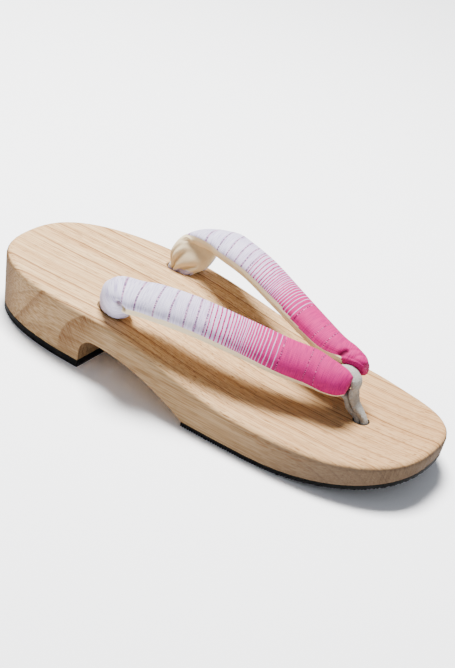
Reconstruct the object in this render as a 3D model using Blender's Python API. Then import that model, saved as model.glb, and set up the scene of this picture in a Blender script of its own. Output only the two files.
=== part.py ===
"""A geta sandal that fits either foot: a carved wooden base with a heel block and a front block, a
rubber pad under each, two padded straps joined at the toe, and the front cord that ties them down.

Metres, +Z up. +X points to the toe and +Y to the wearer's left. The origin is on the floor, under
the middle of the sandal. Every place along the sandal is counted from the back of the heel, and the
finished pieces are then set back by half the length.
"""

import math
from collections import namedtuple

import bmesh
import bpy
import numpy as np
from mathutils import Matrix, Vector

# Wooden base, seen from above
LENGTH = 0.2330
BALL_WIDTH = 0.0922
HEEL_WIDTH = 0.0885
TOE_ROUND_LENGTH = 0.0800
TOE_SQUARENESS = 2.6
HEEL_ROUND_LENGTH = 0.0770
HEEL_SQUARENESS = 2.55

# Wooden base, seen from the side; heights are above the floor
HEEL_HEIGHT = 0.0304
BALL_HEIGHT = 0.0172
TOE_HEIGHT = 0.0220
HEEL_LEVEL_END = 0.0690
BALL_LEVEL_START = 0.1645
BALL_LEVEL_END = 0.1950
EDGE_ROUND = 0.0030
WALL_DRAFT = 0.085
HEEL_BLOCK_LENGTH = 0.0685
FRONT_BLOCK_START = 0.1298
ARCH_HEIGHT = 0.0170
ARCH_CORNER_ROUND = 0.0080
TOE_SPRING = 0.0114
TOE_SPRING_START = 0.1650

# Rubber pads
HEEL_PAD_THICKNESS = 0.0038
FRONT_PAD_THICKNESS = 0.0024
GLUE_GAP = 0.0003

# Holes for the straps' tails and for the front cord
REAR_HOLE_FROM_HEEL = 0.0716
REAR_HOLE_STAGGER = 0.0024
REAR_HOLE_OUT = 0.0297
REAR_HOLE_RADIUS = 0.0052
REAR_HOLE_LEAN = math.radians(28)
FRONT_HOLE_FROM_HEEL = 0.1956
FRONT_HOLE_RADIUS = 0.0040
KNOT_RECESS_RADIUS = 0.0095
KNOT_RECESS_DEPTH = 0.0066

# Straps; the rises are of each strap's middle line over the wood
STRAP_WIDTH = 0.0205
STRAP_SPREAD = 0.0365
STRAP_RISE_LEFT = 0.0215
STRAP_RISE_RIGHT = 0.0190
STRAP_CROWN = 0.0070
STRAP_BELLY = 0.0052
STRAP_LEAN = 0.16
COVER_SQUARENESS = 2.2
LINING_SQUARENESS = 2.8
TAIL_RADIUS = 0.0042
TAIL_KNOT_RADIUS = 0.0055
KNOT_CLEARANCE = 0.0006

# Bar of folded strap ends inside the loop of the front cord
BAR_LENGTH = 0.0086
BAR_HEIGHT = 0.0076
BAR_BEHIND_HOLE = 0.0126
BAR_ABOVE_WOOD = 0.0153

# Front cord
CORD_THICKNESS = 0.0029
CORD_WIDTH = 0.0065
CORD_SQUEEZE = 0.60
CORD_SQUARENESS = 3.0
CORD_CLEARANCE = 0.0004
GROOVE_CLEARANCE = 0.0003
CORD_KNOT_RADIUS = 0.0072
CORD_KNOT_HEIGHT = 0.0050
LOOP_START = math.radians(242)
LOOP_END = math.radians(-30)

# Facets
END_STEPS = 18
SIDE_STEPS = 16
EDGE_STEPS = 4
ARCH_STEPS = 8
HOLE_SIDES = 28
STRAP_RING = 20
STRAP_STEPS = 4
CORD_RING = 12
CORD_STEPS = 3
LOOP_STEPS = 8

# Colour, roughness and metallic value of each piece
FINISHES = {
    "base": ((0.72, 0.56, 0.40), 0.60, 0.0),
    "heel_pad": ((0.02, 0.02, 0.02), 0.80, 0.0),
    "front_pad": ((0.02, 0.02, 0.02), 0.80, 0.0),
    "straps": ((0.75, 0.25, 0.45), 0.75, 0.0),
    "front_cord": ((0.62, 0.62, 0.57), 0.90, 0.0),
}


def smooth_step(t):
    """0 before t = 0 and 1 after t = 1, level at both."""
    t = min(max(t, 0.0), 1.0)
    return t * t * (3 - 2 * t)


def half_width(x):
    """Half the width of the base's top outline at a distance x from the heel's back."""
    widening = smooth_step((x - HEEL_BLOCK_LENGTH) / (FRONT_BLOCK_START - HEEL_BLOCK_LENGTH))
    side = (HEEL_WIDTH + (BALL_WIDTH - HEEL_WIDTH) * widening) / 2
    toe = min(1.0, max(0.0, (x - (LENGTH - TOE_ROUND_LENGTH)) / TOE_ROUND_LENGTH))
    heel = min(1.0, max(0.0, (HEEL_ROUND_LENGTH - x) / HEEL_ROUND_LENGTH))
    round_toe = (1 - toe**TOE_SQUARENESS) ** (1 / TOE_SQUARENESS)
    round_heel = (1 - heel**HEEL_SQUARENESS) ** (1 / HEEL_SQUARENESS)
    return side * round_toe * round_heel


def top_height(x):
    """Height of the wood's upper face: level heel, slope over the arch, level ball, raised toe."""
    fall = smooth_step((x - HEEL_LEVEL_END) / (BALL_LEVEL_START - HEEL_LEVEL_END))
    rise = max(0.0, (x - BALL_LEVEL_END) / (LENGTH - BALL_LEVEL_END))
    return HEEL_HEIGHT + (BALL_HEIGHT - HEEL_HEIGHT) * fall + (TOE_HEIGHT - BALL_HEIGHT) * rise**1.5


def floor_height(x):
    """Height of the pads' lower face: on the floor, then an arc that lifts the toe."""
    run = LENGTH - TOE_SPRING_START
    radius = (run**2 + TOE_SPRING**2) / (2 * TOE_SPRING)
    past = min(max(0.0, x - TOE_SPRING_START), run)
    return radius - math.sqrt(radius**2 - past**2)


def pad_thickness(x):
    """Thickness of the rubber at x; it changes in the middle of the arch, where there is none."""
    middle = (HEEL_BLOCK_LENGTH + FRONT_BLOCK_START) / 2
    return HEEL_PAD_THICKNESS if x < middle else FRONT_PAD_THICKNESS


def outline():
    """Top outline as (x, y) points from the heel's middle along -Y to the toe and back along +Y."""
    quarter = [math.pi / 2 * i / END_STEPS for i in range(END_STEPS)]
    heel = [HEEL_ROUND_LENGTH * (1 - math.cos(a) ** (2 / HEEL_SQUARENESS)) for a in quarter]
    toe = [LENGTH - TOE_ROUND_LENGTH * (1 - math.cos(a) ** (2 / TOE_SQUARENESS)) for a in quarter]
    side_length = LENGTH - TOE_ROUND_LENGTH - HEEL_ROUND_LENGTH
    side = [HEEL_ROUND_LENGTH + side_length * i / SIDE_STEPS for i in range(SIDE_STEPS + 1)]
    along = heel + side + toe[::-1]
    right = [(x, -half_width(x)) for x in along]
    left = [(x, half_width(x)) for x in along[-2:0:-1]]
    return right + left


def inward_normals(points):
    """Unit vectors across the outline towards its inside, one at each point."""
    found = []
    for i in range(len(points)):
        ahead = Vector(points[(i + 1) % len(points)]) - Vector(points[i - 1])
        found.append(Vector((-ahead.y, ahead.x)).normalized())
    return found


def wall_ring(height):
    """The wall's outline at height(x), drafted inwards by its depth under the rounded edge."""
    points = outline()
    ring = []
    for (x, y), inward in zip(points, inward_normals(points)):
        level = height(x)
        shift = WALL_DRAFT * (top_height(x) - EDGE_ROUND - level)
        ring.append(Vector((x + inward.x * shift, y + inward.y * shift, level)))
    return ring


def edge_ring(turn):
    """A ring of the rounded top edge, turn running from 0 at the wall to a right angle at the top."""
    inset = EDGE_ROUND * (1 - math.cos(turn))
    points = outline()
    ring = []
    for (x, y), inward in zip(points, inward_normals(points)):
        px, py = x + inward.x * inset, y + inward.y * inset
        ring.append(Vector((px, py, top_height(px) - EDGE_ROUND * (1 - math.sin(turn)))))
    return ring


def new_object(name, bm):
    """A new object in the scene from a bmesh."""
    mesh = bpy.data.meshes.new(name)
    bm.to_mesh(mesh)
    bm.free()
    made = bpy.data.objects.new(name, mesh)
    bpy.context.scene.collection.objects.link(made)
    return made


def bridge_rings(bm, rings):
    """Rows of vertices from rings of equal count, joined by faces."""
    rows = [[bm.verts.new(point) for point in ring] for ring in rings]
    for low, high in zip(rows, rows[1:]):
        for i in range(len(low)):
            j = (i + 1) % len(low)
            bm.faces.new((low[i], low[j], high[j], high[i]))
    return rows


def slab(name, rings):
    """A closed slab from outline rings, lowest first, its two faces ruled straight across in Y."""
    bm = bmesh.new()
    rows = bridge_rings(bm, rings)
    count = len(rows[0])
    for row, upward in ((rows[0], False), (rows[-1], True)):
        for i in range(count // 2):
            corners = [row[i], row[i + 1], row[(count - i - 1) % count], row[(count - i) % count]]
            corners = list(dict.fromkeys(corners))
            bm.faces.new(corners if upward else corners[::-1])
    return new_object(name, bm)


def tube(name, rings):
    """A closed body from rings of equal count, with a flat cap on each end."""
    bm = bmesh.new()
    rows = bridge_rings(bm, rings)
    bm.faces.new(rows[0][::-1])
    bm.faces.new(rows[-1])
    bmesh.ops.recalc_face_normals(bm, faces=bm.faces)
    return new_object(name, bm)


def filled_in(rows, steps):
    """Rows of numbers with steps between each two, on a smooth curve through all of them."""
    rows = np.array(rows, float)
    ends = np.vstack([2 * rows[0] - rows[1], rows, 2 * rows[-1] - rows[-2]])
    filled = []
    for a, b, c, d in zip(ends, ends[1:], ends[2:], ends[3:]):
        for i in range(steps):
            t = i / steps
            bend = (2 * a - 5 * b + 4 * c - d) * t**2 + (3 * b - a - 3 * c + d) * t**3
            filled.append((2 * b + (c - a) * t + bend) / 2)
    filled.append(rows[-1])
    return np.array(filled)


def boolean(target, other, operation):
    """Applies one Boolean to target and removes the other object."""
    step = target.modifiers.new(operation, "BOOLEAN")
    step.operation = operation
    step.solver = "EXACT"
    step.object = other
    graph = bpy.context.evaluated_depsgraph_get()
    shape = bpy.data.meshes.new_from_object(target.evaluated_get(graph))
    target.modifiers.clear()
    target.data = shape
    bpy.data.objects.remove(other)


def rod(radius, bottom, top):
    """A round bar from one point to another."""
    axis = top - bottom
    turn = Vector((0, 0, 1)).rotation_difference(axis.normalized()).to_matrix().to_4x4()
    place = Matrix.Translation((bottom + top) / 2) @ turn
    bm = bmesh.new()
    bmesh.ops.create_cone(
        bm,
        cap_ends=True,
        segments=HOLE_SIDES,
        radius1=radius,
        radius2=radius,
        depth=axis.length,
        matrix=place,
    )
    return new_object("rod", bm)


def arch_profile():
    """Side view of the hollow between the blocks, as (x, z) points from the heel block's foot."""
    corner_x = HEEL_BLOCK_LENGTH + ARCH_CORNER_ROUND
    corner_z = ARCH_HEIGHT - ARCH_CORNER_ROUND
    points = [(HEEL_BLOCK_LENGTH, -HEEL_PAD_THICKNESS)]
    for i in range(ARCH_STEPS + 1):
        turn = math.pi / 2 * i / ARCH_STEPS
        x = corner_x - ARCH_CORNER_ROUND * math.cos(turn)
        points.append((x, corner_z + ARCH_CORNER_ROUND * math.sin(turn)))
    run = FRONT_BLOCK_START - corner_x
    drop = ARCH_HEIGHT - FRONT_PAD_THICKNESS
    radius = (run**2 + drop**2) / (2 * drop)
    for i in range(1, 2 * ARCH_STEPS + 1):
        x = run * i / (2 * ARCH_STEPS)
        points.append((corner_x + x, ARCH_HEIGHT - radius + math.sqrt(radius**2 - x**2)))
    points.append((FRONT_BLOCK_START, -FRONT_PAD_THICKNESS))
    return points


def arch_cutter():
    """The hollow between the blocks, cut right across."""
    bm = bmesh.new()
    side = bm.faces.new([bm.verts.new((x, -BALL_WIDTH, z)) for x, z in arch_profile()])
    pushed = bmesh.ops.extrude_face_region(bm, geom=[side])["geom"]
    moved = [v for v in pushed if isinstance(v, bmesh.types.BMVert)]
    bmesh.ops.translate(bm, verts=moved, vec=(0, 2 * BALL_WIDTH, 0))
    bmesh.ops.recalc_face_normals(bm, faces=bm.faces)
    return new_object("arch", bm)


def rear_hole_mouth(side):
    """Middle of a rear hole at the wood's upper face. side is 1 on the left and -1 on the right."""
    x = REAR_HOLE_FROM_HEEL - side * REAR_HOLE_STAGGER / 2
    return Vector((x, side * REAR_HOLE_OUT, top_height(x)))


def rear_hole_axis():
    """Unit vector down a rear hole, which leans forwards so that it comes out in the arch."""
    return Vector((math.sin(REAR_HOLE_LEAN), 0, -math.cos(REAR_HOLE_LEAN)))


def front_hole_mouth():
    return Vector((FRONT_HOLE_FROM_HEEL, 0, top_height(FRONT_HOLE_FROM_HEEL)))


def recess_ceiling():
    """Height of the step inside the front block, under which the front cord's knot bears."""
    return floor_height(FRONT_HOLE_FROM_HEEL) + FRONT_PAD_THICKNESS + KNOT_RECESS_DEPTH


def wooden_base():
    """Carved from one board: outline, rounded top edge, arch between the blocks and three holes."""
    rings = [wall_ring(lambda x: floor_height(x) + pad_thickness(x))]
    rings += [edge_ring(math.pi / 2 * i / EDGE_STEPS) for i in range(EDGE_STEPS + 1)]
    base = slab("base", rings)
    boolean(base, arch_cutter(), "DIFFERENCE")
    for side in (1, -1):
        mouth = rear_hole_mouth(side)
        reach = rear_hole_axis() * HEEL_HEIGHT
        boolean(base, rod(REAR_HOLE_RADIUS, mouth + reach, mouth - reach), "DIFFERENCE")
    mouth = front_hole_mouth()
    reach = Vector((0, 0, HEEL_HEIGHT))
    boolean(base, rod(FRONT_HOLE_RADIUS, mouth - reach, mouth + reach), "DIFFERENCE")
    ceiling = Vector((mouth.x, 0, recess_ceiling()))
    boolean(base, rod(KNOT_RECESS_RADIUS, ceiling - reach, ceiling), "DIFFERENCE")
    return base


def pad(name, thickness, start, end):
    """A rubber pad under one block: the wall's own outline between two distances from the heel."""
    lower = wall_ring(floor_height)
    upper = wall_ring(lambda x: floor_height(x) + thickness - GLUE_GAP)
    made = slab(name, [lower, upper])
    keep = bmesh.new()
    size = Matrix.Diagonal((end - start, 2 * BALL_WIDTH, 2 * HEEL_HEIGHT, 1))
    bmesh.ops.create_cube(keep, size=1, matrix=Matrix.Translation(((start + end) / 2, 0, 0)) @ size)
    boolean(made, new_object("keep", keep), "INTERSECT")
    return made


def heel_pad():
    return pad("heel_pad", HEEL_PAD_THICKNESS, -HEEL_BLOCK_LENGTH, HEEL_BLOCK_LENGTH)


def front_pad():
    """The front pad has a round opening under the front cord's knot."""
    made = pad("front_pad", FRONT_PAD_THICKNESS, FRONT_BLOCK_START, LENGTH + FRONT_BLOCK_START)
    centre = Vector((FRONT_HOLE_FROM_HEEL, 0, 0))
    reach = Vector((0, 0, HEEL_HEIGHT))
    boolean(made, rod(KNOT_RECESS_RADIUS, centre - reach, centre + reach), "DIFFERENCE")
    return made


# One strap's middle line from its rear hole to its tip. along is the share of the way between the
# holes, out of the strap spread, up of the strap's rise over the wood below, width, crown and belly
# of the strap's own. turn is how far the strap's width points forwards from straight outwards, and
# tilt how far it dips outwards, in degrees.
Station = namedtuple("Station", "along out up width turn tilt crown belly")
COURSE = (
    (0.020, 0.830, 0.070, 0.82, 76, 0, 0.80, 0.95),
    (0.034, 0.845, 0.180, 0.92, 76, 3, 0.90, 1.05),
    (0.043, 0.875, 0.380, 1.00, 72, 6, 0.94, 1.05),
    (0.057, 0.980, 0.660, 0.97, 60, 10, 0.90, 1.00),
    (0.086, 1.045, 0.850, 1.00, 33, 8, 0.82, 1.00),
    (0.145, 1.030, 0.935, 1.04, 13, 9, 0.84, 1.00),
    (0.210, 0.935, 1.005, 1.08, 10, 10, 0.95, 1.00),
    (0.357, 0.770, 1.130, 1.02, 16, 15, 1.00, 1.00),
    (0.520, 0.575, 1.155, 0.98, 19, 19, 1.00, 1.00),
    (0.684, 0.380, 1.080, 0.93, 19, 27, 1.10, 1.00),
    (0.790, 0.235, 0.990, 0.86, 14, 34, 1.20, 0.90),
    (0.860, 0.220, 0.955, 0.76, 8, 43, 1.10, 0.75),
    (0.912, 0.210, 0.955, 0.60, 3, 50, 0.75, 0.50),
    (0.939, 0.200, 0.965, 0.32, 0, 54, 0.28, 0.20),
)
COURSE = tuple(Station(*row) for row in COURSE)

# The knot on a strap's tail, from its end upwards: depth below the wood and radius, both as shares
# of the knot's radius.
TAIL_KNOT = ((1.25, 0.40), (1.12, 0.80), (0.78, 1.00), (0.46, 0.85), (0.32, 0.60))


def frame_of(turn, tilt, side):
    """Unit vector across a strap towards its outer edge."""
    level = math.cos(math.radians(tilt))
    forward = math.sin(math.radians(turn)) * level
    outward = math.cos(math.radians(turn)) * level
    return Vector((forward, side * outward, -math.sin(math.radians(tilt))))


def tail_rows(side):
    """Rows of the tail from the end of its knot to the hole's mouth."""
    mouth = rear_hole_mouth(side)
    axis = rear_hole_axis()
    across = frame_of(COURSE[0].turn, 0, side)
    through_wood = (mouth.z - ARCH_HEIGHT) / -axis.z
    knot_start = through_wood + TAIL_KNOT_RADIUS * math.sin(REAR_HOLE_LEAN) / 2 + KNOT_CLEARANCE
    rows = []
    for depth, radius in TAIL_KNOT:
        centre = mouth + axis * (knot_start + depth * TAIL_KNOT_RADIUS)
        half = radius * TAIL_KNOT_RADIUS
        rows.append((*centre, *(across * half), half, half))
    for share in (1.0, 0.5, 0.0):
        centre = mouth + axis * (through_wood * share)
        rows.append((*centre, *(across * TAIL_RADIUS), TAIL_RADIUS, TAIL_RADIUS))
    return rows


def strap_rows(side, rise):
    """Rows of eight numbers: the middle line's point, half the width as a vector, crown and belly."""
    rows = tail_rows(side)
    mouth = rear_hole_mouth(side)
    for at in COURSE:
        x = mouth.x + at.along * (FRONT_HOLE_FROM_HEEL - mouth.x)
        half = frame_of(at.turn, at.tilt, side) * at.width * STRAP_WIDTH / 2
        centre = (x, side * at.out * STRAP_SPREAD, top_height(x) + at.up * rise)
        rows.append((*centre, *half, at.crown * STRAP_CROWN, at.belly * STRAP_BELLY))
    return filled_in(rows, STRAP_STEPS)


def squared(turn, squareness):
    """A point on the unit superellipse: 2 gives the circle, more a fuller, squarer shape."""
    across, over = math.cos(turn), math.sin(turn)
    power = 2 / squareness
    return math.copysign(abs(across) ** power, across), math.copysign(abs(over) ** power, over)


def strap_ring(row, ahead, side):
    """One ring round the strap: the crowned cover over its middle line, the flatter lining under it.
    The cover leans outwards by a share of half the width, which fades out where the tail begins."""
    centre, half = Vector(row[0:3]), Vector(row[3:6])
    crown, belly = row[6], row[7]
    upward = half.cross(ahead).normalized() * -side
    wider = (half.length - TAIL_RADIUS) / (STRAP_WIDTH / 2 - TAIL_RADIUS)
    lean = STRAP_LEAN * smooth_step(wider)
    ring = []
    for i in range(STRAP_RING):
        turn = 2 * math.pi * i / STRAP_RING
        if i <= STRAP_RING // 2:
            across, over = squared(turn, COVER_SQUARENESS)
            ring.append(centre + half * (across + lean * over) + upward * crown * over)
        else:
            across, over = squared(turn, LINING_SQUARENESS)
            ring.append(centre + half * across + upward * belly * over)
    return ring


def one_strap(side, rise):
    rows = strap_rows(side, rise)
    rings = []
    for i, row in enumerate(rows):
        before, after = rows[max(i - 1, 0)], rows[min(i + 1, len(rows) - 1)]
        rings.append(strap_ring(row, Vector(after[0:3]) - Vector(before[0:3]), side))
    return tube("straps", rings)


def bar_middle():
    """Middle of the bar that joins the two straps, inside the loop of the front cord."""
    mouth = front_hole_mouth()
    return Vector((mouth.x - BAR_BEHIND_HOLE, 0, mouth.z + BAR_ABOVE_WOOD))


def bar():
    """The straps' folded ends, which the front cord's loop holds."""
    middle = bar_middle()
    rings = []
    for y in (-CORD_WIDTH, CORD_WIDTH):
        ring = []
        for i in range(CORD_RING):
            turn = 2 * math.pi * i / CORD_RING
            x, z = BAR_LENGTH / 2 * math.cos(turn), BAR_HEIGHT / 2 * math.sin(turn)
            ring.append(middle + Vector((x, y, z)))
        rings.append(ring)
    return tube("bar", rings)


def straps():
    """Both straps and the bar between them, sewn into one piece, with the groove that the front
    cord's loop presses into their soft tips."""
    made = one_strap(1, STRAP_RISE_LEFT)
    boolean(made, bar(), "UNION")
    boolean(made, one_strap(-1, STRAP_RISE_RIGHT), "UNION")
    boolean(made, cord_tube("groove", GROOVE_CLEARANCE), "DIFFERENCE")
    return made


# Each leg of the front cord between the bar and the hole, in side view. across is a share of the
# way forwards from the bar's middle to the hole's, and down of the way from there to the wood.
REAR_LEG = ((0.50, 0.66), (0.18, 0.42))
FRONT_LEG = ((0.62, 0.33), (0.88, 0.60))


def cord_route():
    """The cord's middle line as (x, z) points: up the rear leg, over the bar, down the front leg."""
    middle, mouth = bar_middle(), front_hole_mouth()
    reach, drop = mouth.x - middle.x, middle.z - mouth.z
    beside = CORD_THICKNESS / 2 + CORD_CLEARANCE / 2
    knot = recess_ceiling() - KNOT_CLEARANCE - CORD_KNOT_HEIGHT / 2
    route = [(mouth.x - beside, knot), (mouth.x - beside, mouth.z)]
    route += [(middle.x + reach * across, middle.z - drop * down) for across, down in REAR_LEG]
    round_bar = CORD_CLEARANCE + CORD_THICKNESS / 2
    for i in range(LOOP_STEPS + 1):
        turn = LOOP_START + (LOOP_END - LOOP_START) * i / LOOP_STEPS
        x = middle.x + (BAR_LENGTH / 2 + round_bar) * math.cos(turn)
        route.append((x, middle.z + (BAR_HEIGHT / 2 + round_bar) * math.sin(turn)))
    route += [(middle.x + reach * across, middle.z - drop * down) for across, down in FRONT_LEG]
    route += [(mouth.x + beside, mouth.z), (mouth.x + beside, knot)]
    return filled_in(route, CORD_STEPS)


def cord_tube(name, spare):
    """The cord's flat tube, larger by spare on every side, with its legs squeezed in the hole."""
    route = cord_route()
    mouth = front_hole_mouth()
    rings = []
    for i, (x, z) in enumerate(route):
        before, after = route[max(i - 1, 0)], route[min(i + 1, len(route) - 1)]
        ahead = Vector((after[0] - before[0], 0, after[1] - before[1])).normalized()
        across = Vector((-ahead.z, 0, ahead.x)) * (CORD_THICKNESS / 2 + spare)
        free = smooth_step((z - mouth.z) / CORD_WIDTH)
        half = CORD_WIDTH / 2 * (CORD_SQUEEZE + (1 - CORD_SQUEEZE) * free) + spare
        ring = []
        for j in range(CORD_RING):
            wide, thick = squared(2 * math.pi * (j + 0.5) / CORD_RING, CORD_SQUARENESS)
            ring.append(Vector((x, half * wide, z)) + across * thick)
        rings.append(ring)
    return tube(name, rings)


def front_cord():
    """A velvet cord that loops round the bar, with both legs through the hole and a knot below."""
    made = cord_tube("front_cord", 0)
    knot = bmesh.new()
    middle = recess_ceiling() - KNOT_CLEARANCE - CORD_KNOT_HEIGHT / 2
    centre = Vector((FRONT_HOLE_FROM_HEEL, 0, middle))
    size = Matrix.Diagonal((CORD_KNOT_RADIUS, CORD_KNOT_RADIUS, CORD_KNOT_HEIGHT / 2, 1))
    place = Matrix.Translation(centre) @ size
    bmesh.ops.create_uvsphere(knot, u_segments=HOLE_SIDES, v_segments=CORD_RING, radius=1, matrix=place)
    boolean(made, new_object("knot", knot), "UNION")
    return made


def finish(piece):
    """Gives a piece its material and smooth shading, and sets it back to the shared origin."""
    colour, roughness, metallic = FINISHES[piece.name]
    material = bpy.data.materials.new(piece.name)
    material.use_nodes = True
    shader = material.node_tree.nodes["Principled BSDF"]
    shader.inputs["Base Color"].default_value = (*colour, 1)
    shader.inputs["Roughness"].default_value = roughness
    shader.inputs["Metallic"].default_value = metallic
    piece.data.materials.clear()
    piece.data.materials.append(material)
    piece.data.shade_smooth()
    piece.data.set_sharp_from_angle(angle=math.radians(35))
    piece.location.x = -LENGTH / 2


def build():
    for old in list(bpy.data.objects):
        bpy.data.objects.remove(old)
    for piece in (wooden_base(), heel_pad(), front_pad(), straps(), front_cord()):
        finish(piece)


build()
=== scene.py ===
"""Geta sandal: a bare paulownia base on two rubber pads, with padded cloth straps and a velvet cord.

Metres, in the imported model's frame: +X to the toe, +Y to the wearer's left, +Z up from the floor.
"""

import math

import bpy
import numpy as np
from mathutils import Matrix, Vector


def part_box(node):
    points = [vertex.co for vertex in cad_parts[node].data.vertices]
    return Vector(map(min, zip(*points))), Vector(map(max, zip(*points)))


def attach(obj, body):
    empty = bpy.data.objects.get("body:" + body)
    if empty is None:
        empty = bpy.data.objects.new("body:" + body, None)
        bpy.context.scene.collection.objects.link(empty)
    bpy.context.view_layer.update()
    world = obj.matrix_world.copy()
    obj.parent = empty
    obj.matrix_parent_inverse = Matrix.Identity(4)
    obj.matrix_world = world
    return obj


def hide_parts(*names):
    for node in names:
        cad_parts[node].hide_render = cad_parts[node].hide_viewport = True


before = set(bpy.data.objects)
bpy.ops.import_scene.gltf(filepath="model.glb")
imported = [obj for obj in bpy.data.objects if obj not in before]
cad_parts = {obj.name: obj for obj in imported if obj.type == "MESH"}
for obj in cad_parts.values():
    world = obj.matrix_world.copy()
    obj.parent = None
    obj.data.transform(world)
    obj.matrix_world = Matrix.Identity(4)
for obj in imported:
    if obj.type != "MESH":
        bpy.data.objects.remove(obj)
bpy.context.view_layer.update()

# Camera: the photograph looks down on the near side and the toe from about 0.75 m, slightly rolled,
# through a long lens. The place and the turn come from matching the sandal's outline.
bpy.ops.object.camera_add(
    location=(0.305105, -0.587255, 0.396617),
    rotation=(math.radians(60.163), math.radians(-10.759), math.radians(33.259)),
)
camera = bpy.context.object
camera.name = "camera"
camera.data.sensor_width = 36
camera.data.lens = 87.84
camera.data.dof.use_dof = False
bpy.context.scene.camera = camera

# Floor: one large pale sheet of studio paper, matt, a hair below the pads so that it never shows
# through them.
bpy.ops.mesh.primitive_plane_add(size=6, location=(0, 0, -0.0002))
floor = bpy.context.object
floor.name = "floor"
bpy.ops.object.transform_apply(location=True, rotation=True, scale=True)
paper = bpy.data.materials.new("paper")
paper.use_nodes = True
paper.node_tree.nodes["Principled BSDF"].inputs["Base Color"].default_value = (0.95, 0.95, 0.95, 1)
paper.node_tree.nodes["Principled BSDF"].inputs["Roughness"].default_value = 0.9
floor.data.materials.append(paper)

# Light: a soft box almost overhead, a little to the far side of the heel, throws the straps' shadows
# right under them, a weak one over the toe lifts the near walls, and a white studio fills the rest.
KEY_PLACE = Vector((-0.26, 0.17, 1.06))
FILL_PLACE = Vector((0.75, -0.70, 0.70))
for name, place, size, power in (
    ("key_light", KEY_PLACE, 0.38, 60.0),
    ("fill_light", FILL_PLACE, 0.90, 2.0),
):
    bpy.ops.object.light_add(type="AREA", location=place)
    lamp = bpy.context.object
    lamp.name = name
    lamp.data.size = size
    lamp.data.energy = power
    lamp.rotation_euler = (-place).to_track_quat("-Z", "Y").to_euler()
studio = bpy.data.worlds.new("studio")
studio.use_nodes = True
studio.node_tree.nodes["Background"].inputs["Color"].default_value = (0.92, 0.98, 1.12, 1)
studio.node_tree.nodes["Background"].inputs["Strength"].default_value = 0.36
bpy.context.scene.world = studio


# Base: one board of bare paulownia, sawn so that its growth rings run along the top as thin orange
# lines and come out slanting on the curved walls, where the end grain shows fine upright hatching.
# It is planed smooth, with a rounded edge and small tears along the near edge.
class Reading:
    """A value read off a surface. Sums on it add the Math nodes that work them out."""

    def __init__(self, finish, socket):
        self.finish = finish
        self.socket = socket

    def maths(self, operation, *values):
        sockets = dict(enumerate(values))
        return self.finish.node("ShaderNodeMath", {"operation": operation}, sockets)

    def __add__(self, other):
        return self.maths("ADD", self, other)

    def __sub__(self, other):
        return self.maths("SUBTRACT", self, other)

    def __rsub__(self, other):
        return self.maths("SUBTRACT", other, self)

    def __mul__(self, other):
        return self.maths("MULTIPLY", self, other)

    def __truediv__(self, other):
        return self.maths("DIVIDE", self, other)

    def __pow__(self, other):
        return self.maths("POWER", self, other)

    def __abs__(self):
        return self.maths("ABSOLUTE", self)

    __radd__ = __add__
    __rmul__ = __mul__

    def fraction(self):
        return self.maths("FRACT", self)

    def whole(self):
        return self.maths("FLOOR", self)

    def wave(self):
        return self.maths("SINE", self)

    def highest(self, other):
        return self.maths("MAXIMUM", self, other)

    def ease(self, low, high):
        """0 at low and 1 at high, smooth between them; low may be the larger."""
        settings = {"interpolation_type": "SMOOTHSTEP"}
        sockets = {"Value": self, "From Min": low, "From Max": high}
        return self.finish.node("ShaderNodeMapRange", settings, sockets)

    def line(self, middle, half):
        """1 on a thin line where the value is middle, 0 from half away."""
        return abs(self - middle).ease(half, half * 0.45)


class Finish:
    """A material in the making. node adds any node and gives back one of its outputs."""

    def __init__(self, name):
        self.material = bpy.data.materials.new(name)
        self.material.use_nodes = True
        self.tree = self.material.node_tree
        self.surface = self.tree.nodes["Principled BSDF"]

    def node(self, kind, settings, sockets, output=0):
        made = self.tree.nodes.new(kind)
        for key, value in settings.items():
            setattr(made, key, value)
        for key, value in sockets.items():
            if isinstance(value, Reading):
                self.tree.links.new(value.socket, made.inputs[key])
            else:
                made.inputs[key].default_value = value
        return Reading(self, made.outputs[output])

    def parts(self, vector):
        """The three numbers of a vector."""
        split = {"Vector": vector}
        return [self.node("ShaderNodeSeparateXYZ", {}, split, output=i) for i in range(3)]

    def place(self):
        """x, y and z of the piece's own point, in metres."""
        return self.parts(self.node("ShaderNodeTexCoord", {}, {}, output="Object"))

    def noise(self, x, y, z, detail=3.0, rough=0.55):
        vector = self.node("ShaderNodeCombineXYZ", {}, {0: x, 1: y, 2: z})
        sockets = {"Vector": vector, "Scale": 1.0, "Detail": detail, "Roughness": rough}
        return self.node("ShaderNodeTexNoise", {}, sockets)

    def mix(self, share, first, second):
        sockets = {0: share, 6: first, 7: second}
        return self.node("ShaderNodeMix", {"data_type": "RGBA"}, sockets, output=2)

    def stain(self, share, colour, tint):
        """The colour multiplied by the tint, by this share."""
        settings = {"data_type": "RGBA", "blend_type": "MULTIPLY"}
        return self.node("ShaderNodeMix", settings, {0: share, 6: colour, 7: tint}, output=2)

    def bump(self, height, strength, distance):
        sockets = {"Height": height, "Strength": strength, "Distance": distance}
        self.feed("Normal", self.node("ShaderNodeBump", {}, sockets))

    def feed(self, name, value):
        if isinstance(value, Reading):
            self.tree.links.new(value.socket, self.surface.inputs[name])
        else:
            self.surface.inputs[name].default_value = value


def pick(*objects):
    """Selects these objects alone, the first of them active."""
    bpy.ops.object.select_all(action="DESELECT")
    for one in objects:
        one.select_set(True)
    bpy.context.view_layer.objects.active = objects[0]


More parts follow.
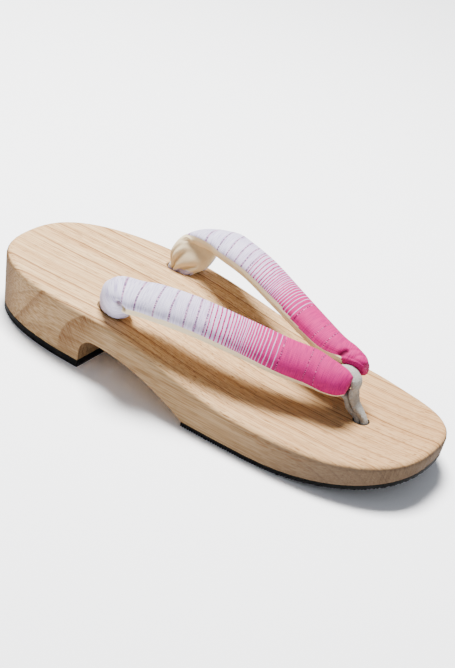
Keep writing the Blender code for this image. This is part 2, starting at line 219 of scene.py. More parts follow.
def solid_copy(node, name):
    """A free copy of a CAD solid, its loose triangles merged into one skin."""
    piece = bpy.data.objects.new(name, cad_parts[node].data.copy())
    bpy.context.scene.collection.objects.link(piece)
    pick(piece)
    bpy.ops.object.mode_set(mode="EDIT")
    bpy.ops.mesh.select_all(action="SELECT")
    bpy.ops.mesh.remove_doubles(threshold=0.00001)
    bpy.ops.mesh.tris_convert_to_quads(face_threshold=0.05, shape_threshold=3.1)
    bpy.ops.object.mode_set(mode="OBJECT")
    return piece


def slice_across(places, across):
    """Cuts new edges into the active mesh at each distance along across."""
    bpy.ops.object.mode_set(mode="EDIT")
    for distance in places:
        bpy.ops.mesh.select_all(action="SELECT")
        bpy.ops.mesh.bisect(plane_co=Vector(across) * distance, plane_no=across)
    bpy.ops.object.mode_set(mode="OBJECT")


def smooth(piece, degrees):
    """Smooth shading up to an angle, led by the large faces."""
    pick(piece)
    bpy.ops.object.shade_smooth_by_angle(angle=math.radians(degrees))
    even = piece.modifiers.new("even_shading", "WEIGHTED_NORMAL")
    even.keep_sharp = True
    bpy.ops.object.modifier_apply(modifier=even.name)


def dress(piece, *finishes):
    """Gives a piece its finishes. Clearing even an empty list would set every face to the first."""
    if len(piece.data.materials):
        piece.data.materials.clear()
    for finish in finishes:
        piece.data.materials.append(finish.material)


BOARD_STEP = 0.005
RING_PITCH = 0.0074
FIRST_CRESCENT_FOOT = -0.0944
SECOND_CRESCENT_FOOT = -0.0603
low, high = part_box("base")
wood = solid_copy("base", "wooden_base")
slice_across(np.arange(low.x + BOARD_STEP, high.x, BOARD_STEP), (1, 0, 0))
slice_across(np.arange(low.y + BOARD_STEP, high.y, BOARD_STEP), (0, 1, 0))
smooth(wood, 32)

paulownia = Finish("paulownia")
x, y, z = paulownia.place()
sway = paulownia.noise(x * 5, y * 16, z * 16, 2.0) - 0.5
slant = y * 0.86 + z * 0.52 + sway * 0.010
year = slant / RING_PITCH + 0.9 * (paulownia.noise(slant * 60, 3.0, 7.0, 1.0) - 0.5)
season = year.fraction()
clouds_along = paulownia.noise(x * 9, slant * 90, 5.0, 1.0)
strong = paulownia.noise(year.whole() * 3.3, x * 6, 1.0, 1.0).ease(0.36, 0.62) * 0.7 + 0.3
late = season.ease(0.86, 0.965) * season.ease(1.0, 0.975)
halo = season.ease(0.40, 0.95) * season.ease(1.0, 0.97)
between = (year * 2.6 + 1.1 * clouds_along).fraction()
faint = between.ease(0.74, 0.95) * between.ease(1.0, 0.96)
fibre = paulownia.noise(x * 30, y * 1500, z * 1500, 3.0).ease(0.36, 0.64)
pores = paulownia.noise(x * 130, y * 2100, z * 2100, 1.0).ease(0.60, 0.72)
clouds = paulownia.noise(x * 14, y * 45, z * 45, 2.0)
facing = paulownia.parts(paulownia.node("ShaderNodeTexCoord", {}, {}, output="Normal"))
wall = abs(facing[2]).ease(0.80, 0.35)
end_wall = abs(facing[0]).ease(0.35, 0.80) * wall
hatch = paulownia.noise(x * 900, y * 900, z * 55, 2.0).ease(0.40, 0.72)
# Two growth rings that come out on the near heel wall, each a brown crescent with hatched fibres.
near_heel = y.ease(-0.028, -0.036) * wall
first_edge = x - (z * 0.70 + FIRST_CRESCENT_FOOT)
second_edge = x - (((z - 0.005) / 0.023).highest(0.0) ** 2.6 * 0.0115 + SECOND_CRESCENT_FOOT)
slope_hatch = paulownia.noise((x + z * 0.8) * 1300, 2.0, (x - z) * 90, 2.0).ease(0.42, 0.66)
crescent = first_edge.ease(-0.0008, 0.0006) * first_edge.ease(0.0065, 0.0005) * 0.8
second = second_edge.ease(-0.0009, 0.0006) * second_edge.ease(0.020, 0.0010) * z.ease(0.003, 0.012)
crescent = (crescent + second) * (0.45 + slope_hatch * 0.55) * near_heel
# Tears and bruises along the near top edge.
near_edge = y.ease(-0.036, -0.039) * wall.ease(0.0, 0.4) * z.ease(0.010, 0.0135)
near_edge = near_edge * x.ease(0.032, 0.044) * x.ease(0.082, 0.068)
tears = paulownia.noise(x * 170, y * 200, z * 600, 2.0).ease(0.50, 0.62) * near_edge

pale = paulownia.mix(clouds, (0.545, 0.350, 0.172, 1), (0.632, 0.430, 0.230, 1))
pale = paulownia.mix(x.ease(-0.030, 0.100) * 0.60, pale, (0.396, 0.218, 0.092, 1))
grain = paulownia.mix(fibre * 0.60, pale, (0.370, 0.198, 0.079, 1))
ringed = paulownia.mix(halo * strong * 0.36, grain, (0.317, 0.148, 0.050, 1))
ringed = paulownia.mix(faint * 0.48, ringed, (0.224, 0.092, 0.030, 1))
ringed = paulownia.mix(late * strong * 0.85, ringed, (0.130, 0.052, 0.015, 1))
ringed = paulownia.mix(pores * 0.75, ringed, (0.132, 0.056, 0.018, 1))
# Painted shade: the walls grow darker towards the toe.
toe_wall_shade = x.ease(0.015, 0.095) * 0.90
heel_end = x.ease(-0.086, -0.110) * wall
# Painted shade: the walls are coloured much darker than the top, with fibre streaks in that colour,
# and darker still towards the toe.
bare = paulownia.mix(fibre, (0.230, 0.150, 0.080, 1), (0.150, 0.088, 0.040, 1))
bare = paulownia.mix(toe_wall_shade, bare, (0.066, 0.048, 0.037, 1))
walled = paulownia.mix(wall * (toe_wall_shade * 0.10 + 0.80), ringed, bare)
walled = paulownia.mix(end_wall * 0.25, walled, (0.079, 0.050, 0.028, 1))
# The heel's end wall is darkened further: its end grain, and painted shade.
walled = paulownia.mix(heel_end * 0.85, walled, (0.098, 0.047, 0.017, 1))
walled = paulownia.mix(end_wall * hatch * 0.45, walled, (0.046, 0.024, 0.011, 1))
walled = paulownia.mix(crescent * 0.95, walled, (0.086, 0.033, 0.010, 1))
paulownia.feed("Base Color", paulownia.mix(tears * 0.50, walled, (0.132, 0.059, 0.023, 1)))
paulownia.feed("Roughness", 0.68 + fibre * 0.16)
paulownia.feed("Specular IOR Level", 0.08)
relief = fibre * 0.5 + pores * -0.8 + late * 0.35 + tears * -1.2
paulownia.bump(relief, 0.35, 0.0004)
dress(wood, paulownia)
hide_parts("base")
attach(wood, "root")

# Rubber pads: black sheet cut to the base's outline and glued on. The heel pad's edge is plain; the
# front pad is ribbed across underneath, so that its lower edge is serrated all round.
RIB_PITCH = 0.0013
RIB_DEPTH = 0.0005
rubber = Finish("black_rubber")
x, y, z = rubber.place()
speckle = rubber.noise(x * 1800, y * 1800, z * 1800, 2.0)
dust = rubber.noise(x * 90, y * 90, z * 90, 3.0).ease(0.45, 0.75)
rubber.feed("Base Color", rubber.mix(dust * 0.5, (0.002, 0.002, 0.002, 1), (0.008, 0.008, 0.008, 1)))
rubber.feed("Specular IOR Level", 0.10)
rubber.feed("Roughness", 0.62 + speckle * 0.25)
rubber.bump(speckle, 0.30, 0.0002)

for node in ("heel_pad", "front_pad"):
    low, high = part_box(node)
    pad = solid_copy(node, "rubber_" + node)
    steps = np.arange(low.x + RIB_PITCH / 2, high.x, RIB_PITCH / 2)
    slice_across(steps, (1, 0, 0))
    if node == "front_pad":
        grooves = {round(steps[i] * 1e6) for i in range(0, len(steps), 2)}
        faces_down = [f for f in pad.data.polygons if f.normal.z < -0.7]
        under = {i for f in faces_down for i in f.vertices}
        for vertex in pad.data.vertices:
            vertex.select = vertex.index in under and round(vertex.co.x * 1e6) in grooves
        for face in pad.data.polygons:
            face.select = False
        for edge in pad.data.edges:
            edge.select = False
        bpy.ops.object.mode_set(mode="EDIT")
        bpy.ops.mesh.select_mode(type="VERT")
        bpy.ops.transform.translate(value=(0, 0, RIB_DEPTH))
        bpy.ops.object.mode_set(mode="OBJECT")
    smooth(pad, 25)
    dress(pad, rubber)
    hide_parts(node)
    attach(pad, "root")

# Straps: two padded tubes, cream suede under a woven cover that runs from white at the heel to hot
# pink at the toe, crossed by fine dyed threads. Each comes up out of its rear hole gathered into a
# fan of folds, rolls over, and runs forward to a closed tip beside the front cord.
MM = 0.001
WOOD_LENGTH = 0.2330
HEEL_TOP = 0.0304
BALL_TOP = 0.0172
TOE_TOP = 0.0220
REAR_HOLE = Vector((0.0716, 0.0297))
REAR_STAGGER = 0.0024
REAR_LEAN = math.radians(28)
ARCH_HEIGHT = 0.0170
KNOT_CLEARANCE = 0.0006
FRONT_HOLE = 0.1956
STRAP_WIDTH = 0.0205
SPREAD = 0.0365
RISE = {1: 0.0215, -1: 0.0190}
CROWN = 0.0070
BELLY = 0.0052
LEAN = 0.16
TAIL = 0.0042
TAIL_KNOT = 0.0055
CORD_WIDE = 0.0065
CORD_THICK = 0.0029
ROW_STEP = 0.00045
COVER_POINTS = 44
LINING_POINTS = 36
COVER_FULLNESS = 2.2
LINING_FULLNESS = 2.8
# The cover stands proud of its seams and the lining is drawn in along them, in mm. The right strap's
# lining laps a few degrees over its outer seam.
COVER_PROUD = 0.22
SEAM_DEEP = 0.30
RIGHT_LAP = 9
MM_PER_DEGREE = 0.131
PATTERN_LONG = 130.0
# Where each strap's crown swells or sinks: height, then middle and reach in mm from the wood.
SWELL = {1: (-0.0015, 25, 9), -1: (0.0007, 8, 6)}
# How far round the lining the cover is tucked, in degrees: over both tips, a little more along the
# left strap's front half, and less where that strap is gathered, so that its lining shows.
TIP_TUCK = 166
LEFT_TUCK = 14
LEFT_OPEN = 62
LINING_END = 134
# Along the way from hole to hole, out, up, width, turn and tilt in degrees, crown, belly.
COURSE = (
    (0.032, 0.830, 0.070, 0.68, 76, 0, 0.82, 1.00),
    (0.038, 0.845, 0.180, 0.88, 76, 3, 0.90, 1.05),
    (0.043, 0.875, 0.380, 1.00, 72, 6, 0.94, 1.05),
    (0.057, 0.980, 0.660, 0.97, 60, 10, 0.90, 1.00),
    (0.086, 1.045, 0.850, 1.00, 33, 8, 0.82, 1.00),
    (0.145, 1.030, 0.935, 1.04, 13, 9, 0.84, 1.00),
    (0.210, 0.935, 1.005, 1.08, 10, 10, 0.95, 1.00),
    (0.357, 0.770, 1.130, 1.02, 16, 15, 1.00, 1.00),
    (0.520, 0.575, 1.155, 0.98, 19, 19, 1.00, 1.00),
    (0.684, 0.380, 1.080, 0.93, 19, 27, 1.10, 1.00),
    (0.790, 0.235, 0.990, 0.86, 14, 34, 1.20, 0.90),
    (0.860, 0.220, 0.955, 0.76, 8, 43, 1.10, 0.75),
    (0.914, 0.212, 0.952, 0.63, 3, 50, 0.80, 0.52),
    (0.942, 0.204, 0.955, 0.43, 0, 54, 0.40, 0.28),
)
# Depth under the wood and radius of the tail's knot, in shares of its radius.
KNOT_SHAPE = ((1.25, 0.40), (1.12, 0.80), (0.78, 1.00), (0.46, 0.85), (0.32, 0.60))
# Creases and ridges: side, points as (mm from the wood, degrees round the strap), half width and
# height in mm. The cover runs from 0 at the outer seam to 180 at the inner one.
FOLDS = (
    (-1, ((17, 104), (10, 96), (5, 86), (2.6, 60), (1.9, 28), (2.2, -4)), 0.40, -0.40),
    (-1, ((20.0, 18), (23, 10), (26, -3), (30, -15)), 1.90, -2.50),
    (-1, ((15.0, -30), (15.5, 0), (14.4, 20)), 1.60, 0.60),
    (-1, ((6.0, 20), (9, 45), (14, 62)), 1.60, -0.25),
    (1, ((1.0, 196), (4, 203), (9, 214), (16, 236)), 0.80, -0.55),
    (1, ((0.8, 204), (3, 222), (8, 243), (14, 268)), 0.85, -0.75),
    (1, ((0.6, 212), (2.2, 243), (5.5, 272), (10, 300)), 0.80, -0.80),
    (1, ((0.5, 226), (1.6, 262), (3.2, 296), (6.5, 326)), 0.70, -0.70),
    (1, ((1.0, 200), (3.6, 213), (8.5, 229), (15, 252)), 0.80, 0.40),
    (1, ((0.7, 208), (2.6, 232), (6.7, 258), (12, 284)), 0.80, 0.50),
    (1, ((0.5, 220), (1.9, 252), (4.4, 284), (8, 312)), 0.75, 0.50),
    (1, ((19, 250), (16, 262), (13.5, 285), (12, 318)), 1.90, -0.45),
    (1, ((22, 200), (18, 215), (17, 240)), 1.60, -0.60),
    (1, ((127.5, 200), (128.3, 180), (129.5, 158)), 1.20, -1.30),
    (1, ((128.5, 180), (130.5, 150), (132.5, 125), (133.5, 100)), 0.60, -0.35),
    (1, ((133.0, 190), (134.0, 160), (135.5, 130), (137.0, 105)), 0.55, -0.40),
    (1, ((138.0, 200), (138.5, 170), (139.5, 150)), 0.80, -0.60),
    (-1, ((121, 10), (124, 25), (127, 60)), 0.70, -0.45),
    (-1, ((113, 8), (118, 30), (120, 60)), 0.60, -0.18),
)


def level(t):
    """0 before t = 0 and 1 after t = 1, eased between."""
    t = np.clip(t, 0, 1)
    return t * t * (3 - 2 * t)


def past(gone, start, length):
    """0 up to start, in mm from the wood, and 1 from that length beyond it."""
    return level((gone - start) / length)


def wood_top(x):
    """Height of the wood at x from the heel's back."""
    fall = level((x - 0.0690) / (0.1645 - 0.0690))
    rise = max(0.0, (x - 0.1950) / (WOOD_LENGTH - 0.1950))
    return HEEL_TOP + (BALL_TOP - HEEL_TOP) * float(fall) + (TOE_TOP - BALL_TOP) * rise**1.5


def across(turn, tilt, side):
    """Unit vector over the strap's width, towards its outer edge."""
    flat = math.cos(math.radians(tilt))
    forward = math.sin(math.radians(turn)) * flat
    outward = math.cos(math.radians(turn)) * flat
    return Vector((forward, side * outward, -math.sin(math.radians(tilt))))


def mouth_of(side):
    """Where the strap comes out of the wood, from the heel's back."""
    x = REAR_HOLE.x - side * REAR_STAGGER / 2
    return Vector((x, side * REAR_HOLE.y, wood_top(x)))


def strap_course(side):
    """The strap's rows from the tail's knot to the tip: middle, half width, crown and belly."""
    mouth = mouth_of(side)
    down = Vector((math.sin(REAR_LEAN), 0, -math.cos(REAR_LEAN)))
    through = (mouth.z - ARCH_HEIGHT) / -down.z
    start = through + TAIL_KNOT * math.sin(REAR_LEAN) / 2 + KNOT_CLEARANCE
    wide = across(COURSE[0][4], 0, side)
    rows = []
    for depth, radius in KNOT_SHAPE:
        half = radius * TAIL_KNOT
        rows.append((*(mouth + down * (start + depth * TAIL_KNOT)), *(wide * half), half, half))
    for share in (1.0, 0.5, 0.0):
        rows.append((*(mouth + down * (through * share)), *(wide * TAIL), TAIL, TAIL))
    for along, out, up, width, turn, tilt, crown, belly in COURSE:
        ahead = mouth.x + along * (FRONT_HOLE - mouth.x)
        half = across(turn, tilt, side) * width * STRAP_WIDTH / 2
        middle = (ahead, side * out * SPREAD, wood_top(ahead) + up * RISE[side])
        rows.append((*middle, *half, crown * CROWN, belly * BELLY))
    return np.array(rows, float)


def drawn_through(rows, step):
    """Rows on a smooth curve through the given ones, evenly spaced by step along the middle."""
    ends = np.vstack([2 * rows[0] - rows[1], rows, 2 * rows[-1] - rows[-2]])
    t = np.linspace(0, 1, 40, endpoint=False)[:, None]
    pieces = []
    for a, b, c, d in zip(ends, ends[1:], ends[2:], ends[3:]):
        bend = (2 * a - 5 * b + 4 * c - d) * t**2 + (3 * b - a - 3 * c + d) * t**3
        pieces.append((2 * b + (c - a) * t + bend) / 2)
    fine = np.vstack([*pieces, rows[-1:]])
    gone = np.concatenate([[0], np.cumsum(np.linalg.norm(np.diff(fine[:, :3], axis=0), axis=1))])
    marks = np.linspace(0, gone[-1], int(gone[-1] / step) + 1)
    return marks, np.column_stack([np.interp(marks, gone, fine[:, i]) for i in range(fine.shape[1])])


def squared(turn, fullness):
    """Points of an oval, from a circle at 2 to a squarer one above."""
    one, two = np.cos(turn), np.sin(turn)
    power = 2 / fullness
    return np.sign(one) * np.abs(one) ** power, np.sign(two) * np.abs(two) ** power


def grid_normals(points):
    """Normals of a tube's grid of points, rows by ring, outwards."""
    along = np.gradient(points, axis=0)
    round_it = np.roll(points, -1, axis=1) - np.roll(points, 1, axis=1)
    normals = np.cross(round_it, along)
    normals /= np.linalg.norm(normals, axis=2, keepdims=True) + 1e-12
    outward = points - points.mean(axis=1, keepdims=True)
    flip = np.sign((normals * outward).sum(axis=(1, 2)))
    return normals * flip[:, None, None]


def near_line(flat, line):
    """Distance from flat points to a bent line, and the share of the way along it."""
    best = np.full(flat.shape[:-1], 1e9)
    share = np.zeros(flat.shape[:-1])
    line = np.array(line, float)
    for i, (a, b) in enumerate(zip(line, line[1:])):
        t = np.clip(((flat - a) @ (b - a)) / ((b - a) @ (b - a)), 0, 1)
        far = np.linalg.norm(flat - (a + t[..., None] * (b - a)), axis=-1)
        nearer = far < best
        best = np.where(nearer, far, best)
        share = np.where(nearer, (i + t) / (len(line) - 1), share)
    return best, share


def tube_mesh(name, points, chart):
    """A closed tube from a grid of points, with a UV chart."""
    rows, ring = points.shape[:2]
    quads = []
    for i in range(rows - 1):
        for j in range(ring):
            k = (j + 1) % ring
            quads.append((i * ring + j, (i + 1) * ring + j, (i + 1) * ring + k, i * ring + k))
    mesh = bpy.data.meshes.new(name)
    flat = points.reshape(-1, 3)
    poles = [points[0].mean(axis=0), points[-1].mean(axis=0)]
    first, last = len(flat), len(flat) + 1
    ends = [(first, j, (j + 1) % ring) for j in range(ring)]
    base = (rows - 1) * ring
    ends += [(last, base + (j + 1) % ring, base + j) for j in range(ring)]
    mesh.from_pydata([*map(tuple, flat), *map(tuple, poles)], [], quads + ends)
    layer = mesh.uv_layers.new(name="chart")
    u, v = chart
    for face in mesh.polygons:
        wrap = face.index % ring == ring - 1
        for loop in face.loop_indices:
            corner = mesh.loops[loop].vertex_index
            if corner >= first:
                row, spot = (0 if corner == first else rows - 1), 0
            else:
                row, spot = divmod(corner, ring)
            turned = v[spot] + (1.0 if wrap and spot == 0 else 0.0)
            layer.data[loop].uv = (u[row, spot], turned)
    made = bpy.data.objects.new(name, mesh)
    bpy.context.scene.collection.objects.link(made)
    pick(made)
    bpy.ops.object.mode_set(mode="EDIT")
    bpy.ops.mesh.select_all(action="SELECT")
    bpy.ops.mesh.normals_make_consistent(inside=False)
    bpy.ops.object.mode_set(mode="OBJECT")
    bpy.ops.object.shade_smooth()
    return made


def fold_relief(side, spots):
    """Height in mm of this strap's creases and ridges at spots on it."""
    relief = np.zeros(spots.shape[:-1])
    for fold_side, line, width, tall in FOLDS:
        if fold_side != side:
            continue
        far, share = near_line(spots, [(s, d * MM_PER_DEGREE) for s, d in line])
        around = [(s, (d + 360) * MM_PER_DEGREE) for s, d in line]
        far_around, share_around = near_line(spots, around)
        share = np.where(far < far_around, share, share_around)
        far = np.minimum(far, far_around)
        relief += tall * np.exp(-((far / width) ** 2)) * (1 - np.abs(2 * share - 1) ** 4)
    return relief


def is_lined(side, gone, spot, lap):
    """Whether the lining shows at a spot in degrees round the strap, gone mm from the wood."""
    tucked = TIP_TUCK * past(gone, 128, 4)
    if side == 1:
        tucked += LEFT_TUCK * past(gone, 85, 25) - LEFT_OPEN * (1 - past(gone, 9, 15))
    lined = spot > 180 + tucked or (spot < lap and gone < LINING_END)
    # The left strap's lining ends at the cover's turned edge, close above the wood.
    if side == 1 and lined:
        turned_edge = 1.6 + 3.4 * math.sin(math.radians(max(0, spot - 196)) * 1.02)
        lined = gone > turned_edge or gone < 0
    return lined


def strap(side, name, skew, ahead_by):
    """One strap. The weave's threads run askew by skew and start ahead_by further on, in mm."""
    marks, rows = drawn_through(strap_course(side), ROW_STEP)
    mouth = np.array(mouth_of(side))
    mouth_row = int(np.argmin(np.linalg.norm(rows[:, :3] - mouth, axis=1)))
    from_wood = (marks - marks[mouth_row]) / MM
    turn = np.concatenate([
        np.linspace(0, math.pi, COVER_POINTS, endpoint=False),
        np.linspace(math.pi, 2 * math.pi, LINING_POINTS, endpoint=False),
    ])
    cover = turn <= math.pi + 1e-9
    lap = RIGHT_LAP * past(from_wood, 15, 50) if side == -1 else np.zeros(len(rows))
    wide, over = squared(turn, COVER_FULLNESS)
    flat_wide, flat_over = squared(turn, LINING_FULLNESS)
    ahead = np.gradient(rows[:, :3], axis=0)
    half = rows[:, 3:6]
    upward = np.cross(half, ahead)
    upward *= -side / np.linalg.norm(upward, axis=1, keepdims=True)
    half_length = np.linalg.norm(half, axis=1)
    lean = LEAN * level((half_length - TAIL) / (STRAP_WIDTH / 2 - TAIL))
    swell, swell_at, swell_reach = SWELL[side]
    crown = rows[:, 6] + swell * np.exp(-(((from_wood - swell_at) / swell_reach) ** 2))
    spans = np.where(cover, wide + lean[:, None] * over, flat_wide)
    lifts = np.where(cover, over * crown[:, None], flat_over * rows[:, 7:8])
    points = rows[:, None, :3] + half[:, None] * spans[..., None] + upward[:, None] * lifts[..., None]

    degrees = np.degrees(turn)
    from_lap = np.abs((degrees[None, :] - lap[:, None] + 180) % 360 - 180)
    from_seam = np.minimum(from_lap, np.abs(degrees - 180)[None, :]) * MM_PER_DEGREE
    proud = COVER_PROUD * level(from_seam / 0.9)
    height = np.where(cover, proud, -SEAM_DEEP * np.exp(-((from_seam / 0.8) ** 2)))
    height *= past(from_wood, 0, 3)[:, None]
    spots = np.stack(np.meshgrid(from_wood, degrees * MM_PER_DEGREE, indexing="ij"), axis=-1)
    crease_depth_and_shade = fold_relief(side, spots)
    height += crease_depth_and_shade
    points += grid_normals(points) * height[..., None] * MM
    # Painted shade: the strap is darkened where it goes down into its hole.
    crease_depth_and_shade -= (1.3 * past(from_wood, -9, 4) * (1 - past(from_wood, 0, 1.6)))[:, None]
    points[..., 0] -= WOOD_LENGTH / 2

    # Past the rear bend the threads run askew. They straighten towards the tip, the left strap's by
    # a fifth only, and keep their place at the right strap's crown and the left one's inner seam.
    kept, held = (0.8, 1) if side == 1 else (0.0, 0)
    askew = skew * (kept + (1 - kept) * (1 - past(from_wood, 65, 25))) * past(from_wood, 20, 12)
    pattern = from_wood[:, None] * PATTERN_LONG / from_wood[-1] + ahead_by
    pattern = pattern - askew[:, None] * (np.cos(turn) + held)
    made = tube_mesh(name, points, (pattern / 100, turn / (2 * math.pi)))
    # The creases' depth goes to the finishes, which paint shade into the creases and, on the lining,
    # a highlight onto the ridges.
    depth = made.data.attributes.new("crease_depth_and_shade", "FLOAT", "POINT")
    values = np.concatenate([crease_depth_and_shade.ravel(), [0, 0]])
    depth.data.foreach_set("value", values.astype(np.float32))
    for face in made.data.polygons:
        row, spot = divmod(face.index, len(turn))
        row = min(row, len(rows) - 1)
        face.material_index = int(is_lined(side, from_wood[row], degrees[spot] + 2, lap[row]))
    return made


cloth = Finish("strap_cloth")
along, round_it = cloth.parts(cloth.node("ShaderNodeUVMap", {"uv_map": "chart"}, {}))[:2]
crease_depth_and_shade = cloth.node("ShaderNodeAttribute", {"attribute_name": "crease_depth_and_shade"}, {}, output="Fac")
mm = along * 100
thread = mm + (cloth.noise(along * 30, round_it * 9, 0.0, 2.0) - 0.5) * 0.5
dashes = cloth.noise(mm * 0.11, round_it * 120, 4.0, 1.0)
# Single dyed threads over the white part, in mm from the wood, and those left in the pink part.
marked = 0.0
for middle in (24.8, 32.1, 40.4, 46.9, 53.2, 57.8, 61.7):
    marked = thread.line(middle, 0.55) + marked
pale_marks = 0.0
for middle in (96.8, 109.6, 116.0):
    pale_marks = thread.line(middle, 0.34) + pale_marks
# Pink threads that thicken and close up, then white ones that thin out and open up.
since = thread - 64.8
closing = since * 0.48 + since * since * since * 0.00095
thick = since * 0.020 + 0.27
pink_lines = (closing.fraction() - thick).ease(0.06, -0.06)
until = 95.2 - thread
opening = until * 0.375 + until * until * 0.0187
thin = until * 0.019 + 0.14
white_lines = (opening.fraction() - thin).ease(0.06, -0.06)
in_closing = thread.ease(62.5, 62.6) * thread.ease(79.75, 79.65)
in_opening = thread.ease(79.65, 79.75) * thread.ease(95.25, 95.15)
in_pink = thread.ease(95.15, 95.25)
pink = in_closing * pink_lines + in_opening * (1 - white_lines) + in_pink
specks = cloth.noise(closing.whole() * 5.1, round_it * 90, 9.0, 0.0).ease(0.58, 0.62)
specks = specks * closing.fraction().line(0.14, 0.24) * (in_closing + in_opening * 0.5)
slubs = cloth.noise(mm * 1.5, round_it * 5, 2.0, 3.0)
weave = (mm * 9.5).wave() * 0.5 + (round_it * 420).wave() * 0.5
warp = cloth.noise(mm * 3.6, round_it * 7, 8.0, 2.0)
nap = cloth.noise(mm * 2.2, round_it * 160, 6.0, 3.0)

white = cloth.mix(slubs, (0.483, 0.455, 0.560, 1), (0.580, 0.550, 0.655, 1))
blush = cloth.mix(thread.ease(40, 92) * 0.62, white, (0.518, 0.231, 0.434, 1))
hot = cloth.mix(slubs, (0.360, 0.002, 0.092, 1), (0.460, 0.005, 0.145, 1))
hot = cloth.mix(nap.ease(0.40, 0.80) * 0.25, hot, (0.504, 0.049, 0.231, 1))
shade = cloth.mix(pink, blush, hot)
uneven = warp.ease(0.44, 0.64) * 0.75 + slubs.ease(0.45, 0.62) * 0.25
shade = cloth.stain(uneven, shade, (0.560, 0.500, 0.660, 1))
shade = cloth.mix(marked * dashes.ease(0.42, 0.54) * 0.90, shade, (0.077, 0.014, 0.077, 1))
shade = cloth.mix(marked * dashes.ease(0.50, 0.42) * 0.55, shade, (0.420, 0.070, 0.196, 1))
shade = cloth.mix(pale_marks * dashes.ease(0.54, 0.60) * 0.40, shade, (0.600, 0.320, 0.490, 1))
shade = cloth.mix(pale_marks * dashes.ease(0.55, 0.49) * 0.85, shade, (0.042, 0.001, 0.021, 1))
shade = cloth.mix(specks * 0.85, shade, (0.042, 0.004, 0.035, 1))
# Painted shade: the cover darkens in its creases and where it goes into the hole.
shade = cloth.stain(crease_depth_and_shade.ease(-0.15, -1.2) * 0.85, shade, (0.300, 0.200, 0.220, 1))
cloth.feed("Base Color", shade)
cloth.feed("Roughness", 0.60 + nap * 0.22)
cloth.feed("Specular IOR Level", 0.14)
cloth.bump(weave * 0.35 + nap * 0.8 + marked * 0.4, 0.45, 0.00018)

suede = Finish("cream_suede")
x, y, z = suede.place()
crease_depth_and_shade = suede.node("ShaderNodeAttribute", {"attribute_name": "crease_depth_and_shade"}, {}, output="Fac")
mottle = suede.noise(x * 160, y * 160, z * 160, 4.0)
pile = suede.noise(x * 2600, y * 2600, z * 2600, 2.0)
cream = suede.mix(mottle, (0.560, 0.440, 0.258, 1), (0.640, 0.545, 0.370, 1))
# Painted shade in the lining's creases and where it goes into the hole, and a painted highlight on
# its ridges.
cream = suede.mix(crease_depth_and_shade.ease(-0.05, -1.0) * 0.60, cream, (0.198, 0.112, 0.046, 1))
suede.feed("Base Color", suede.mix(crease_depth_and_shade.ease(0.1, 0.6) * 0.6, cream, (0.594, 0.528, 0.396, 1)))
suede.feed("Roughness", 0.84)
suede.feed("Specular IOR Level", 0.20)
suede.bump(pile + mottle * 0.6, 0.40, 0.00015)

for side, name, skew, ahead_by in ((-1, "right_strap", 1.35, 0.0), (1, "left_strap", -4.6, 3.3)):
    made = strap(side, name, skew, ahead_by)
    dress(made, cloth, suede)
    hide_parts("straps")
    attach(made, "root")

# Strap joint: the two straps' ends folded over each other into one short hard roll, bound in the
# same pink cloth. It sits inside the loop of the front cord.
BAR_BEHIND_HOLE = 0.0126
BAR_ABOVE_WOOD = 0.0153
BAR_MIDDLE = Vector((FRONT_HOLE - BAR_BEHIND_HOLE - WOOD_LENGTH / 2, 0, BALL_TOP + BAR_ABOVE_WOOD))
BAR_LONG = 0.0086
BAR_HIGH = 0.0076
BAR_ACROSS = 1.7 * CORD_WIDE
bpy.ops.mesh.primitive_cylinder_add(
    vertices=48,
    radius=0.5,
    depth=BAR_ACROSS,
    rotation=(math.pi / 2, 0, 0),
    location=BAR_MIDDLE,
)
joint = bpy.context.object
joint.name = "strap_joint"
joint.scale = (BAR_LONG, BAR_HIGH, 1)
bpy.ops.object.transform_apply(location=True, rotation=True, scale=True)
bpy.ops.object.mode_set(mode="EDIT")
bpy.ops.mesh.select_all(action="SELECT")
bpy.ops.mesh.bevel(offset=0.0006, segments=3)
bpy.ops.object.mode_set(mode="OBJECT")
smooth(joint, 40)
binding = Finish("joint_cloth")
x, y, z = binding.place()
warp = binding.noise(x * 900, y * 2400, z * 900, 2.0)
binding.feed("Base Color", binding.mix(warp, (0.210, 0.002, 0.056, 1), (0.350, 0.007, 0.112, 1)))
binding.feed("Roughness", 0.70 + warp * 0.15)
binding.bump(warp, 0.50, 0.0002)
dress(joint, binding)
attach(joint, "root")

# Front cord: a flat tube of off-white velvet. It loops over the joint, both legs are pinched
# together into the front hole, and its knot sits in the recess under the base.
CORD_GAP = 0.0004
LOOP_START = math.radians(242)
LOOP_END = 0
REAR_LEG = ((0.445, 0.715), (0.24, 0.40))
FRONT_LEG = ((0.46, 0.23), (0.64, 0.56))
SOLE_RISE = 0.0022
FRONT_PAD_THICK = 0.0024
RECESS_DEPTH = 0.0066
KNOT_TOP = SOLE_RISE + FRONT_PAD_THICK + RECESS_DEPTH - KNOT_CLEARANCE
CORD_KNOT_RADIUS = 0.0072
CORD_KNOT_HEIGHT = 0.0050


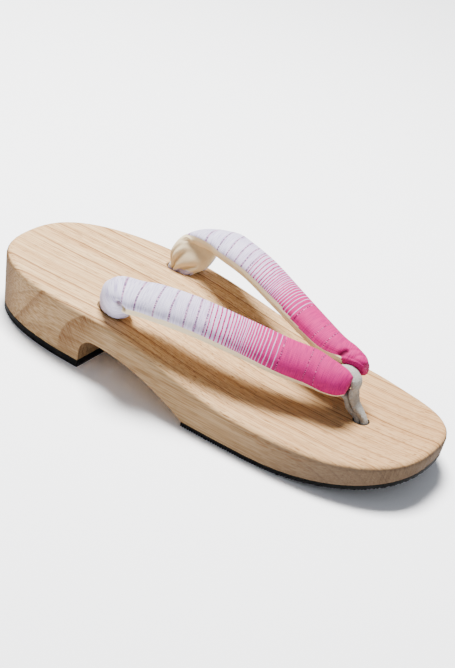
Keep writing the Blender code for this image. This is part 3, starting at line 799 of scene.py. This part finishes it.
def cord_course():
    """The cord's middle line in side view, up the rear leg, round the joint, down the front one."""
    hole_x = FRONT_HOLE - WOOD_LENGTH / 2
    reach, drop = hole_x - BAR_MIDDLE.x, BAR_MIDDLE.z - BALL_TOP
    beside = CORD_THICK / 2 + CORD_GAP / 2
    round_bar = CORD_GAP + CORD_THICK / 2
    knot = KNOT_TOP - CORD_KNOT_HEIGHT / 2
    line = [(hole_x - beside, 0, knot), (hole_x - beside, 0, BALL_TOP)]
    line += [(BAR_MIDDLE.x + reach * a, 0, BAR_MIDDLE.z - drop * b) for a, b in REAR_LEG]
    for i in range(9):
        turn = LOOP_START + (LOOP_END - LOOP_START) * i / 8
        x = BAR_MIDDLE.x + (BAR_LONG / 2 + round_bar) * math.cos(turn)
        line.append((x, 0, BAR_MIDDLE.z + (BAR_HIGH / 2 + round_bar) * math.sin(turn)))
    line += [(BAR_MIDDLE.x + reach * a, 0, BAR_MIDDLE.z - drop * b) for a, b in FRONT_LEG]
    line += [(hole_x + beside, 0, BALL_TOP), (hole_x + beside, 0, knot)]
    return np.array(line)


marks, line = drawn_through(cord_course(), 0.0003)
ahead = np.gradient(line, axis=0)
ahead /= np.linalg.norm(ahead, axis=1, keepdims=True)
outward = np.column_stack([-ahead[:, 2], np.zeros(len(line)), ahead[:, 0]])
turn = np.linspace(0, 2 * math.pi, 40, endpoint=False)
wide, thick = squared(turn, 3.0)
free = 0.60 + 0.60 * level((line[:, 2] - BALL_TOP) / (2 * CORD_WIDE))
sway = 1 + 0.05 * np.sin(marks / MM * 0.9) + 0.03 * np.sin(marks / MM * 2.3 + 1)
points = line[:, None, :] + outward[:, None] * (thick * CORD_THICK / 2)[None, :, None]
points[:, :, 1] = (free * sway)[:, None] * wide[None, :] * CORD_WIDE / 2
chart = (np.repeat(marks[:, None] * 10, len(turn), axis=1), turn / (2 * math.pi))
cord = tube_mesh("front_cord_velvet", points, chart)

bpy.ops.mesh.primitive_uv_sphere_add(
    segments=40,
    ring_count=20,
    radius=1,
    location=(FRONT_HOLE - WOOD_LENGTH / 2, 0, KNOT_TOP - CORD_KNOT_HEIGHT / 2),
)
knot = bpy.context.object
knot.name = "front_cord_knot"
knot.scale = (CORD_KNOT_RADIUS, CORD_KNOT_RADIUS, CORD_KNOT_HEIGHT / 2)
bpy.ops.object.transform_apply(location=True, rotation=True, scale=True)
bpy.ops.object.shade_smooth()

velvet = Finish("white_velvet")
x, y, z = velvet.place()
pile = velvet.noise(x * 1500, y * 1500, z * 1500, 3.0)
brushed = velvet.noise(x * 220, y * 420, z * 160, 3.0)
tone = velvet.mix(brushed, (0.205, 0.193, 0.168, 1), (0.310, 0.298, 0.265, 1))
velvet.feed("Base Color", velvet.mix(pile.ease(0.38, 0.66) * 0.6, tone, (0.420, 0.405, 0.370, 1)))
velvet.feed("Roughness", 0.88)
velvet.feed("Specular IOR Level", 0.20)
velvet.feed("Sheen Weight", 0.15)
velvet.bump(pile + brushed * 0.8, 0.80, 0.0004)
for piece in (cord, knot):
    dress(piece, velvet)
    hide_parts("front_cord")
    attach(piece, "root")
